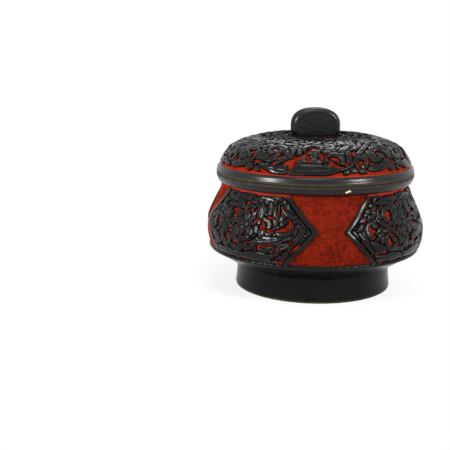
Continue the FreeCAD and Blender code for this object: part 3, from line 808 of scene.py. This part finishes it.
class Finish(Nodes):
    """A material, with the few kinds of node that the finishes share."""

    def __init__(self, name):
        self.material = bpy.data.materials.new(name)
        super().__init__(self.material)
        self.place = self.add("ShaderNodeTexCoord", {}, {}, "Object")

    def colour(self, name):
        """A colour of the settings."""
        return tuple(getattr(bpy.context.scene.lacquer_colours, name))

    def noise(self, scale, detail=3.0, roughness=0.55):
        return self.add("ShaderNodeTexNoise", {}, {"Vector": self.place, "Scale": scale, "Detail": detail,
                                                   "Roughness": roughness})

    def step(self, value, low, high):
        """0 below low, 1 above high, smooth between."""
        return self.add("ShaderNodeMapRange", {"interpolation_type": "SMOOTHSTEP"},
                        {"Value": value, "From Min": low, "From Max": high})

    def patches(self, low, high, *noise):
        """Uneven patches: 0 where the noise is below low, 1 where it is above high."""
        return self.step(self.noise(*noise), low, high)

    def mix(self, factor, first, second):
        """A colour between two, which are signals or names in the settings."""
        first, second = [self.colour(one) if isinstance(one, str) else one for one in (first, second)]
        return self.add("ShaderNodeMix", {"data_type": "RGBA"}, {0: factor, 6: first, 7: second}, 2)

    def attribute(self, name):
        return self.add("ShaderNodeAttribute", {"attribute_name": name}, {}, "Fac")

    def bump(self, height, distance, strength):
        return self.add("ShaderNodeBump", {}, {"Height": height, "Distance": distance, "Strength": strength})

    def along(self, axis):
        """Place of a point along an axis."""
        return self.add("ShaderNodeSeparateXYZ", {}, {"Vector": self.place}, axis)

    def away(self, point):
        """Distance from a point."""
        return self.add("ShaderNodeVectorMath", {"operation": "DISTANCE"}, {0: self.place, 1: point}, "Value")

    def near(self, point, radius, waver):
        """1 near a point and 0 past the radius, with an uneven edge."""
        return 1 - self.step(self.away(point) + self.noise(900.0) * waver, radius + waver * 0.35,
                             radius + waver * 0.65)

    def surface(self, **sockets):
        """A Principled shader, whose sockets are named with underscores for spaces."""
        sockets = {key.replace("_", " "): value for key, value in sockets.items()}
        return self.add("ShaderNodeBsdfPrincipled", {}, sockets)

    def blend(self, factor, first, second):
        """A shader between two shaders."""
        return self.add("ShaderNodeMixShader", {}, {0: factor, 1: first, 2: second})

    def close(self, shader):
        """Ends the tree in a shader and returns the material."""
        self.end("ShaderNodeOutputMaterial", shader)
        return self.material


def black_on(finish):
    """Black lacquer's colour: uneven, a little brown where it is thin."""
    return finish.mix(0.5 * finish.patches(0.35, 0.75, 70.0, 4.0), "black", "smoky")


def carved_lacquer():
    """Black relief over red: red in the cuts, brown where the edges are rubbed.

    Low in the cuts a dull, darker copy of it is painted shade, and the red there is darkened towards
    deep red as painted shade. It is also duller and darker on the crown and on the border round the plinth.
    """
    finish = Finish("carved_lacquer")
    black, worn, low = [finish.attribute(name) for name in ("black", "worn", "low")]
    # Red of the cuts: at least a fifth deep red, painted shade on the floors of the cuts, with uneven patches
    red = finish.mix(0.6 * finish.patches(0.35, 0.7, 260.0, 4.0) + 0.2, "red", "deep_red_and_shade")
    top = finish.mix(0.4 * worn * finish.patches(0.42, 0.66, 180.0), black_on(finish), "worn")
    up = finish.along("Z")
    # Duller and darker on the crown and, more so, on the border round the plinth
    dulled_crown = 0.2 * finish.step(up, 0.080, 0.087) + 0.6 * finish.step(up, 0.0872, 0.0877)
    grain = finish.bump(finish.noise(1500.0, 2.0), 0.00003, 0.3)
    shiny = finish.surface(Base_Color=finish.mix(black, red, top), Normal=grain, Specular_IOR_Level=0.16,
                           Roughness=0.15 + 0.09 * finish.noise(320.0, 3.0))
    # Dull, darker copy: painted shade low in the cuts; also used on the crown and the plinth's border
    dull = finish.surface(Base_Color=finish.mix(black, red, "black"), Normal=grain, Specular_IOR_Level=0.01,
                          Roughness=0.7)
    return finish.close(finish.blend(low + (1 - low) * dulled_crown, shiny, dull))


def diaper_lacquer():
    """Red diaper: bright tops, which are clouded and specked, and dark cuts, darkened by dirt and painted
    shade.
    """
    finish = Finish("diaper_lacquer")
    clouds, specks = finish.patches(0.3, 0.75, 90.0, 5.0, 0.6), finish.patches(0.42, 0.62, 520.0)
    bright = finish.mix(0.4 * clouds + 0.5 * specks, "red_bright", "deep_red_and_shade")
    return finish.close(finish.surface(
        Base_Color=finish.mix(finish.attribute("tops"), "groove_dirt_and_shade", bright), Specular_IOR_Level=0.04,
        Roughness=0.5 + 0.12 * finish.noise(400.0), Normal=finish.bump(finish.noise(1400.0), 0.00005, 0.5)))


def plain_red():
    """Smooth red lacquer with darker clouds, black under the twisted border and mostly on the knob's seat."""
    finish = Finish("plain_red_lacquer")
    low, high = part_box("rope_border")
    border_z, seat_z = (low.z + high.z) / 2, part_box("knob_plinth")[0].z
    red = finish.mix(0.4 * finish.patches(0.3, 0.75, 120.0, 5.0, 0.6), "red", "deep_red_and_shade")
    seat = finish.step(finish.along("Z"), seat_z - 0.25 * MM, seat_z - 0.1 * MM)
    inked = finish.mix(seat * finish.patches(0.6, 0.5, 190.0, 2.0), red, "black")
    over = finish.step(finish.along("Z"), border_z, border_z + 0.2 * MM)
    return finish.close(finish.surface(
        Base_Color=finish.mix(over, "black", inked), Specular_IOR_Level=0.12,
        Roughness=0.45 + 0.15 * finish.noise(300.0), Normal=finish.bump(finish.noise(900.0), 0.00006, 0.6)))


def black_lacquer(name="black_lacquer", gloss=0.3, rough=0.2, chips=()):
    """Smooth black lacquer: soft gloss, faint streaks, and pale chips where they are given."""
    finish = Finish(name)
    base = black_on(finish)
    for chip in chips:
        base = finish.mix(finish.near(chip, 0.6 * MM, 1.2 * MM), base, "chip")
    return finish.close(finish.surface(
        Base_Color=base, Specular_IOR_Level=gloss, Roughness=rough + 0.14 * finish.noise(150.0, 4.0),
        Normal=finish.bump(finish.noise(240.0, 4.0), 0.00012, 0.4)))


def knob_lacquer():
    """The knob's lacquer: soft gloss on its faces and their edges, and round its side a dull, darker copy
    that is painted shade.
    """
    finish = Finish("knob_lacquer")
    base, half_t = black_on(finish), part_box("knob")[1].y
    face = finish.step(abs(finish.along("Y")), half_t - 2.4 * MM, half_t - 1.6 * MM)
    uneven = finish.bump(finish.noise(240.0, 4.0), 0.00012, 0.4)
    shiny = finish.surface(Base_Color=base, Normal=uneven, Specular_IOR_Level=0.26,
                           Roughness=0.22 + 0.14 * finish.noise(150.0, 4.0))
    # Dull, darker copy on the side: painted shade
    dull = finish.surface(Base_Color=base, Normal=uneven, Specular_IOR_Level=0.05, Roughness=0.7)
    return finish.close(finish.blend(face, dull, shiny))


def aged_brass():
    """Brown brass, paler where it is rubbed and dark along the seam."""
    finish = Finish("aged_brass")
    rubbed = finish.patches(0.48, 0.72, 230.0, 5.0, 0.65)
    seam_z = (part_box("base_rim_ring")[1].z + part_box("lid_rim_ring")[0].z) / 2
    clean = finish.step(abs(finish.along("Z") - seam_z), 0.12 * MM, 0.5 * MM)
    brown = finish.mix(0.7 * rubbed, "brass", "brass_bare")
    return finish.close(finish.surface(
        Base_Color=finish.mix(clean, "smoky", brown), Metallic=(0.55 + 0.3 * rubbed) * clean,
        Roughness=0.52 - 0.14 * rubbed, Specular_IOR_Level=0.12,
        Normal=finish.bump(finish.noise(700.0, 4.0), 0.00008, 0.5)))


def lined_wall():
    """Black lacquer inside the bowl, bare brass at its top edge."""
    finish = Finish("lined_wall")
    top_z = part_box("base_shell")[1].z
    bare = finish.step(finish.along("Z"), top_z - 0.4 * MM, top_z - 0.2 * MM)
    return finish.close(finish.surface(
        Base_Color=finish.mix(bare, black_on(finish), "brass"), Metallic=0.7 * bare, Specular_IOR_Level=0.4,
        Roughness=0.36 + 0.14 * finish.noise(150.0, 4.0),
        Normal=finish.bump(finish.noise(300.0, 4.0), 0.0001, 0.4)))


# Places of the chip's parts on the base bead: azimuth in degrees and share of the bead's height
CHIP = [(8.1, 0.52), (8.9, 0.60), (9.7, 0.68)]


def chipped_lacquer():
    """The base bead's lacquer, with a slanted chip near its upper edge."""
    low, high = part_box("base_rim_bead")
    r = high.x - 0.3 * MM
    chips = [tuple(round_axis(r, math.radians(azimuth), low.z + (high.z - low.z) * share))
             for azimuth, share in CHIP]
    return black_lacquer("chipped_lacquer", chips=chips)


MAKERS = {
    "carved": carved_lacquer,
    "diaper": diaper_lacquer,
    "red": plain_red,
    "black": black_lacquer,
    "chipped": chipped_lacquer,
    "foot": lambda: black_lacquer("foot_lacquer", gloss=0.1),
    "rope": lambda: black_lacquer("rope_lacquer", gloss=0.12),
    "plinth": lambda: black_lacquer("plinth_lacquer", gloss=0.02, rough=0.6),
    "knob": knob_lacquer,
    "brass": aged_brass,
    "bowl_wall": lined_wall,
}
MADE = {}


def finish_for(key):
    """The finish of that name, made once."""
    if key not in MADE:
        MADE[key] = MAKERS[key]()
    return MADE[key]


# Operators

STUD_HOLE_R = 2 * MM


def sizes(context):
    return context.scene.lacquer_bowl, context.scene.lacquer_dome, context.scene.lacquer_carving


class BOX_OT_wall(bpy.types.Operator):
    """Red wall of the bowl: the plain layer, and a diaper field between each two panels"""

    bl_idname = "lacquer.wall"
    bl_label = "Red wall"

    def execute(self, context):
        bowl, _, carving = sizes(context)
        outer, inner = wall_points(bowl, 0), wall_points(bowl, bowl.ground_t)
        dress(turned("red_wall", joined(outer, inner[::-1])), "base", "red", "red_lacquer", "base_ground")
        outline = Outline(outer)
        for name, degrees in (("front", 0), ("right", 90), ("back", 180), ("left", -90)):
            mesh = diaper_field(f"diaper_field_{name}", outline, carving, math.radians(degrees))
            dress(mesh, "base", "diaper", "red_lacquer")
        return {"FINISHED"}


class BOX_OT_panels(bpy.types.Operator):
    """Four hexagonal panels of black relief"""

    bl_idname = "lacquer.panels"
    bl_label = "Carved panels"

    def execute(self, context):
        bowl, _, carving = sizes(context)
        outline = Outline(wall_points(bowl, 0))
        places = (("front_left", -45), ("front_right", 45), ("back_right", 135), ("back_left", -135))
        for seed, (name, degrees) in enumerate(places):
            relief = carve_panel(outline, carving, math.radians(degrees), seed)
            dress(relief.mesh(f"carved_panel_{name}"), "base", "carved", "black_lacquer", f"panel_{name}")
        return {"FINISHED"}


class BOX_OT_rope(bpy.types.Operator):
    """Twisted border where the wall meets the underside"""

    bl_idname = "lacquer.rope"
    bl_label = "Twisted border"

    def execute(self, context):
        _, _, carving = sizes(context)
        low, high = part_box("rope_border")
        thick = (high.z - low.z) / 2
        points = self.tube(high.x - thick, (high.z + low.z) / 2, thick, carving.rope_lay)
        dress(grid_mesh("twisted_border", points, True, True), "base", "rope", "black_lacquer", "rope_border")
        return {"FINISHED"}

    def tube(self, middle_r, middle_z, thick, lay):
        """Tube round the axis: its radius follows the size of a cosine that winds along it, as strands do."""
        azimuth = np.linspace(0, 2 * math.pi, lay * 16, endpoint=False)[None, :]
        round_it = np.linspace(0, 2 * math.pi, 18, endpoint=False)[:, None]
        strand = abs(np.cos((2 * round_it + lay * azimuth) / 2))
        groove = 0.26
        radius = thick * (1 - groove + groove * np.sqrt(strand))
        return round_axis(middle_r + radius * np.cos(round_it), azimuth, middle_z + radius * np.sin(round_it))


class BOX_OT_foot(bpy.types.Operator):
    """Foot hoop with its worn lip, and the black lacquer on it and on the slanted underside"""

    bl_idname = "lacquer.foot"
    bl_label = "Foot"

    def execute(self, context):
        bowl, _, _ = sizes(context)
        hoop_t, lip_w, top_gap = 1.0 * MM, 1.4 * MM, 0.7 * MM
        ring, lip_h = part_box("foot_ring")[1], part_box("foot_coat")[0].z
        lip_r, hoop_r, hoop_z = ring.x, ring.x - lip_w, ring.z - top_gap
        inner_r = hoop_r - hoop_t
        hoop = [(inner_r, 0), (lip_r, 0), (lip_r, lip_h), (hoop_r, lip_h), (hoop_r, hoop_z),
                (inner_r, hoop_z)]
        dress(turned("foot_hoop", eased(hoop, bowl.lip_ease)), "base", "brass", "aged_brass", "foot_ring")
        foot_r, top_r = lip_r + 0.2 * MM, lip_r - 0.6 * MM
        draw_in, foot_pull, top_pull = 0.5 * MM, 2.6 * MM, 3.5 * MM
        top = underside_point(bowl, top_r, 0)
        side = bezier([(foot_r, lip_h), (foot_r - draw_in, lip_h + foot_pull),
                       (top_r - bowl.foot_waist, top[1] - top_pull), top], 24)
        outline = joined((hoop_r, lip_h), side, wall_corner(bowl, 0), wall_corner(bowl, bowl.ground_t),
                         underside_point(bowl, hoop_r, bowl.ground_t))
        dress(turned("foot_lacquer", outline), "base", "foot", "black_lacquer", "foot_coat")
        return {"FINISHED"}


class BOX_OT_rims(bpy.types.Operator):
    """Brass rings on both sides of the seam and the black beads on them"""

    bl_idname = "lacquer.rims"
    bl_label = "Rims"

    def execute(self, context):
        bowl, _, _ = sizes(context)
        bead_t, base_bead_w, lid_bead_w, lid_neck_w = 0.9 * MM, 1.8 * MM, 1.6 * MM, 1.8 * MM
        low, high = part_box("base_rim_ring")
        rim, neck, bead_z = high.x, bowl.waist_r - bowl.ground_t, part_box("base_rim_bead")[1].z
        behind = [(rim - bead_t, bead_z), (bowl.waist_r, low.z)]
        ring = [(neck, low.z), *behind[::-1], (rim, bead_z), (rim, high.z), (neck, high.z)]
        dress(turned("base_ring", eased(ring, bowl.lip_ease)), "base", "brass", "aged_brass", "base_rim_ring")
        bead = self.bead("base_bead", (rim - base_bead_w, low.z), (rim, bead_z), behind)
        dress(bead, "base", "chipped", "black_lacquer", "base_rim_bead")

        low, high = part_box("lid_rim_ring")
        dome_r, _ = dome_rim()
        neck, bead_z = dome_r - lid_neck_w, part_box("lid_rim_bead")[0].z
        behind = [(dome_r, high.z), (rim - bead_t, bead_z)]
        ring = [(neck, low.z), (rim, low.z), (rim, bead_z), *behind[::-1], (neck, high.z)]
        dress(turned("lid_ring", eased(ring, bowl.lip_ease)), "lid", "brass", "aged_brass", "lid_rim_ring")
        bead = self.bead("lid_bead", (rim, bead_z), (rim - lid_bead_w, high.z), behind)
        dress(bead, "lid", "black", "black_lacquer", "lid_rim_bead")
        return {"FINISHED"}

    def bead(self, name, start, end, behind):
        """Bead with a round face between two points and a plain back."""
        bulge, pull = 0.5 * MM, 0.6
        middle_r = (start[0] + end[0]) / 2 + bulge
        rise = (end[1] - start[1]) / 3
        face = bezier([start, (middle_r, start[1] + rise * pull), (middle_r, end[1] - rise * pull), end], 20)
        face[:, 0] = np.minimum(face[:, 0], max(start[0], end[0]))
        return turned(name, joined(face, *behind), 320)


class BOX_OT_dome(bpy.types.Operator):
    """Dome of the lid: its red layer and the black carving on it"""

    bl_idname = "lacquer.dome"
    bl_label = "Dome"

    def execute(self, context):
        bowl, dome, carving = sizes(context)
        outer, inner = dome_points(dome, 0), dome_points(dome, bowl.ground_t)
        outline = joined(outer, (STUD_HOLE_R, dome.top_z), (STUD_HOLE_R, dome.top_z - bowl.ground_t),
                         inner[::-1])
        dress(turned("red_dome", outline), "lid", "red", "red_lacquer", "lid_ground")
        relief = carve_dome(Outline(outer), carving)
        for k in range(carving.dome_repeats):
            mesh = relief.mesh(f"dome_carving_{k + 1}", 2 * math.pi / carving.dome_repeats * k)
            dress(mesh, "lid", "carved", "black_lacquer", "lid_carving")
        return {"FINISHED"}


class BOX_OT_inside(bpy.types.Operator):
    """Cores of bowl and lid with their black insides, and the collar"""

    bl_idname = "lacquer.inside"
    bl_label = "Inside"

    def execute(self, context):
        bowl, dome, _ = sizes(context)
        core = bowl.ground_t + bowl.shell_t
        low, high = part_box("base_shell")
        outer, inner = wall_points(bowl, bowl.ground_t), wall_points(bowl, core)
        under, floor = self.floor(bowl, bowl.ground_t, low.z), self.floor(bowl, core, low.z + bowl.shell_t)
        edge = [(outer[-1, 0], high.z), (inner[-1, 0], high.z)]
        outline = joined(under, outer, edge, inner[::-1], floor[::-1])
        dress(turned("bowl_core", outline), "base", "bowl_wall", "aged_brass", "base_shell")
        low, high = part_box("locating_collar")
        collar_t = 0.9 * MM
        inner_r = high.x - collar_t
        collar = [(inner_r, low.z), (high.x, low.z), (high.x, high.z), (inner_r, high.z)]
        collar = turned("collar", eased(collar, bowl.lip_ease))
        dress(collar, "base", "brass", "aged_brass", "locating_collar")
        low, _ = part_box("lid_shell")
        outer, inner = dome_points(dome, bowl.ground_t), dome_points(dome, core)
        top_z = dome.top_z - bowl.ground_t
        outline = joined((inner[0, 0], low.z), (outer[0, 0], low.z), outer, (STUD_HOLE_R, top_z),
                         (STUD_HOLE_R, top_z - bowl.shell_t), inner[::-1])
        dress(turned("lid_core", outline), "lid", "black", "aged_brass", "lid_shell")
        return {"FINISHED"}

    def floor(self, bowl, inset, floor_z):
        """Floor from the axis to the slanted underside, at an inset square to that."""
        rise = math.tan(bowl.underside_slope)
        corner_z = underside_point(bowl, 0, inset)[1]
        return joined((0, floor_z), ((floor_z - corner_z) / rise, floor_z))


class BOX_OT_knob(bpy.types.Operator):
    """Arched tab with a sunk carved face, on its plinth"""

    bl_idname = "lacquer.knob"
    bl_label = "Knob"

    def execute(self, context):
        mesh = welded(grid_mesh("arched_knob", self.tab(*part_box("knob")), closed_columns=True))
        dress(mesh, "lid", "knob", "black_lacquer", "knob")
        plain_nodes = (("knob_plinth", "plinth", "black_lacquer"), ("knob_stud", "brass", "aged_brass"))
        for node, finish, slot in plain_nodes:
            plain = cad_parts[node]
            plain.data.materials.clear()
            plain.data.materials.append(finish_for(finish))
        return {"FINISHED"}

    def tab(self, low, high):
        """Surface of the tab: rows go from the middle of one face over its edge to the middle of the other.

        The outline is a superellipse above the spring line, and nearly square below it. Each row is that
        outline drawn in towards the middle, and the edge between face and side is a quarter of a circle.
        """
        half_w, half_t, ease, arch_h, middle_up = high.x, high.y, 3.0 * MM, 10.2 * MM, 1.5 * MM
        arch, foot_x, foot_z = 2 / 2.45, 0.12, 0.35
        spring_z = high.z - arch_h
        middle_z = (spring_z + low.z) / 2 + middle_up
        turn = np.linspace(0, 2 * math.pi, 260, endpoint=False)[None, :]
        across, up = np.cos(turn), np.sin(turn)
        out_x = half_w * np.sign(across) * abs(across) ** np.where(up > 0, arch, foot_x)
        out_z = np.where(up > 0, spring_z + (high.z - spring_z) * abs(up) ** arch,
                         spring_z - (spring_z - low.z) * abs(up) ** foot_z)
        bend = np.linspace(0, math.pi / 2, 9)[:, None]
        reach = np.linspace(0, 1, 34)[:, None]
        rim = ease / half_w
        drawn = np.concatenate([rim + (1 - reach) * (1 - rim), rim * (1 - np.sin(bend))])
        depth = np.concatenate([0 * reach, ease * (1 - np.cos(bend))])
        drawn_up = np.where(up > 0, drawn, np.clip((drawn - rim) / (1 - rim), 0, 1))
        x = out_x * (1 - drawn)
        z = middle_z + (out_z - middle_z) * (1 - drawn_up)
        border, slant, sunk_by, uneven_by, marks = 0.20, 0.05, 0.12 * MM, 0.03 * MM, 3.2 * MM
        sunk = smooth((drawn - border) / slant) * (sunk_by + uneven_by * unevenness(x, z, marks, seed=11))
        front = np.stack([x, -half_t + depth + sunk, z], axis=-1)
        return np.concatenate([front, front[::-1] * [1, -1, 1]])


WHITE = (1, 1, 1, 1)
# Soft lights: azimuth and elevation in degrees, side in metres and power in watts
LIGHTS = {
    "left_light": (-60, 22, 0.2, 6.8),
    "right_light": (44, 27, 0.2, 5.4),
    "back_light": (172, 38, 0.3, 1.6),
    "top_light": (-10, 70, 0.34, 2.4),
}
LIGHT_DISTANCE = 0.85
CAMERA_PLACE, CAMERA_TILT, CAMERA_TURN, LENS = (-0.0756, -0.4618, 0.1377), 77.45, -2.9, 64.24


class BOX_OT_stage(bpy.types.Operator):
    """Pale floor, white surroundings, four soft lights and the camera"""

    bl_idname = "lacquer.stage"
    bl_label = "Stage"

    def execute(self, context):
        scene = context.scene
        scene.view_settings.view_transform = "Standard"
        self.floor(scene)
        self.surroundings(scene)
        for name, light in LIGHTS.items():
            self.soft_light(scene, name, *light)
        camera = bpy.data.cameras.new("camera")
        camera.lens, camera.sensor_width = LENS, 36.0
        eye = bpy.data.objects.new("camera", camera)
        eye.location = CAMERA_PLACE
        eye.rotation_euler = Euler((math.radians(CAMERA_TILT), 0, math.radians(CAMERA_TURN)))
        scene.collection.objects.link(eye)
        scene.camera = eye
        return {"FINISHED"}

    def floor(self, scene):
        """Round floor that takes the shadow near the object and fades to plain white for the camera."""
        finish = Finish("pale_floor")
        shadow, faint = (-0.04, -0.01, 0), 0.76
        plain = faint + (1 - faint) * finish.step(finish.away(shadow), 0.05, 0.12)
        matt = finish.add("ShaderNodeBsdfDiffuse", {}, {"Color": finish.colour("floor")})
        white = finish.add("ShaderNodeEmission", {}, {"Color": WHITE, "Strength": 1.0})
        radius = np.array([0.0, 0.3, 2.0])[:, None]
        turn = np.linspace(0, 2 * math.pi, 64, endpoint=False)
        across, up = radius * np.cos(turn), radius * np.sin(turn)
        mesh = welded(grid_mesh("floor", np.stack([across, up, 0 * across], axis=-1), closed_columns=True))
        mesh.materials.append(finish.close(finish.blend(finish.seen() * plain, matt, white)))
        floor = bpy.data.objects.new("floor", mesh)
        scene.collection.objects.link(floor)
        floor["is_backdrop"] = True

    def surroundings(self, scene):
        """World that is white to the camera and in mirrors, and gives a plain fill light."""
        scene.world = bpy.data.worlds.new("surroundings")
        nodes, fill = Nodes(scene.world), 0.25
        strength = fill + (1 - fill) * nodes.seen()
        light = nodes.add("ShaderNodeBackground", {}, {"Color": WHITE, "Strength": strength})
        nodes.end("ShaderNodeOutputWorld", light)

    def soft_light(self, scene, name, azimuth, elevation, size, power):
        """Square soft light that looks at the middle of the box."""
        lamp = bpy.data.lights.new(name, "AREA")
        lamp.size, lamp.energy = size, power
        turn, rise = math.radians(azimuth), math.radians(elevation)
        back = Vector((math.sin(turn) * math.cos(rise), -math.cos(turn) * math.cos(rise), math.sin(rise)))
        low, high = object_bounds()
        light = bpy.data.objects.new(name, lamp)
        light.location = (low + high) / 2 + back * LIGHT_DISTANCE
        light.rotation_euler = back.to_track_quat("Z", "Y").to_euler()
        scene.collection.objects.link(light)


class BOX_PT_sidebar(bpy.types.Panel):
    """Sizes and steps of the lacquer box"""

    bl_idname = "BOX_PT_sidebar"
    bl_label = "Lacquer box"
    bl_space_type = "VIEW_3D"
    bl_region_type = "UI"
    bl_category = "Lacquer box"

    def draw(self, context):
        layout = self.layout
        for group, kind in GROUPS.items():
            box = layout.box()
            box.label(text=kind.__doc__)
            for name in kind.__annotations__:
                box.prop(getattr(context.scene, group), name)
        for step in STEPS:
            layout.operator(step.bl_idname)


GROUPS = {"lacquer_bowl": BowlSizes, "lacquer_dome": DomeSizes, "lacquer_carving": CarvingSizes,
          "lacquer_colours": Finishes}
STEPS = [BOX_OT_wall, BOX_OT_panels, BOX_OT_rope, BOX_OT_foot, BOX_OT_rims, BOX_OT_dome, BOX_OT_inside,
         BOX_OT_knob, BOX_OT_stage]


def register():
    for group, kind in GROUPS.items():
        bpy.utils.register_class(kind)
        setattr(bpy.types.Scene, group, PointerProperty(type=kind))
    for kind in [*STEPS, BOX_PT_sidebar]:
        bpy.utils.register_class(kind)


def unregister():
    for kind in [BOX_PT_sidebar, *reversed(STEPS)]:
        bpy.utils.unregister_class(kind)
    for group, kind in GROUPS.items():
        delattr(bpy.types.Scene, group)
        bpy.utils.unregister_class(kind)


def main():
    """Builds every piece in order."""
    register()
    for step in STEPS:
        group, name = step.bl_idname.split(".")
        getattr(getattr(bpy.ops, group), name)()


if __name__ == "__main__":
    main()
